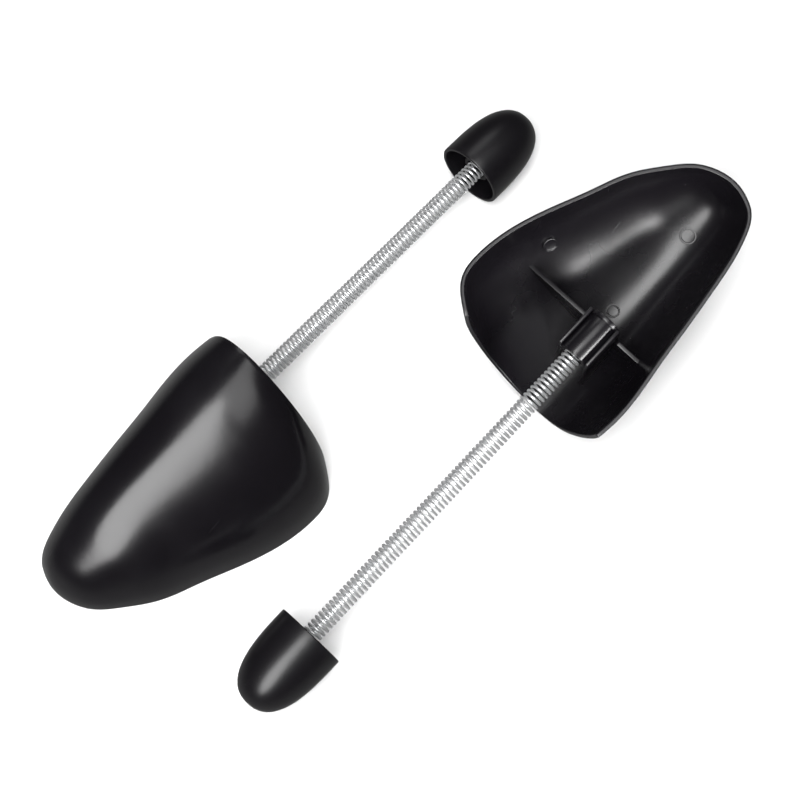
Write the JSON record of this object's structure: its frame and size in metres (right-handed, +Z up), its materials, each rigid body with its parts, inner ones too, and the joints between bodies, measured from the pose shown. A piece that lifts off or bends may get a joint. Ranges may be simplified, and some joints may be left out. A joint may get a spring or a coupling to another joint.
{
  "type": "spring shoe stretcher pair",
  "caption": "Left and right shoe stretchers, each a hollow plastic forepart and a hollow heel cap on the two ends of a long coil spring.",
  "frame": {"origin": "middle of the pair's bounding box in X and Y, on the surface that both stretchers lie on", "axes": "+Z up, +X along the springs from the left stretcher's forepart to its heel cap, +Y from the right stretcher to the left one"},
  "size_m": [0.2904, 0.152, 0.0653],
  "materials": {
    "black_plastic": "glossy black injection moulded plastic",
    "spring_steel": "bright plated spring wire"
  },
  "bodies": {
    "left_forepart_body": {"left_forepart": "black_plastic"},
    "left_spring_body": {"left_spring": "spring_steel"},
    "left_heel_cap_body": {"left_heel_cap": "black_plastic"},
    "right_forepart_body": {"right_forepart": "black_plastic"},
    "right_spring_body": {"right_spring": "spring_steel"},
    "right_heel_cap_body": {"right_heel_cap": "black_plastic"}
  },
  "joints": [
    {"name": "left_spring_bend", "type": "hinge", "parent": "left_forepart_body", "child": "left_spring_body", "pos_m": [-0.00345, 0.04513, 0.0146], "axis": [0, -1, 0], "range_deg": [0, 90], "stiffness_Nm_per_rad": 0.03, "deforming": ["left_spring"]},
    {"name": "left_spring_press", "type": "slide", "parent": "left_spring_body", "child": "left_heel_cap_body", "axis": [-1, 0, 0], "range_m": [0, 0.025], "stiffness_N_per_m": 400},
    {"name": "right_spring_bend", "type": "hinge", "parent": "right_forepart_body", "child": "right_spring_body", "pos_m": [0.00635, -0.04346, 0.03018], "axis": [-0.0031, 0.9955, 0.0949], "range_deg": [0, 90], "stiffness_Nm_per_rad": 0.03, "deforming": ["right_spring"]},
    {"name": "right_spring_press", "type": "slide", "parent": "right_spring_body", "child": "right_heel_cap_body", "axis": [0.9899, -0.0104, 0.1413], "range_m": [0, 0.025], "stiffness_N_per_m": 400},
    {"name": "right_stretcher_lift", "type": "slide", "parent": "left_forepart_body", "child": "right_forepart_body", "axis": [0, 0, 1], "range_m": [0, 0.05]}
  ]
}
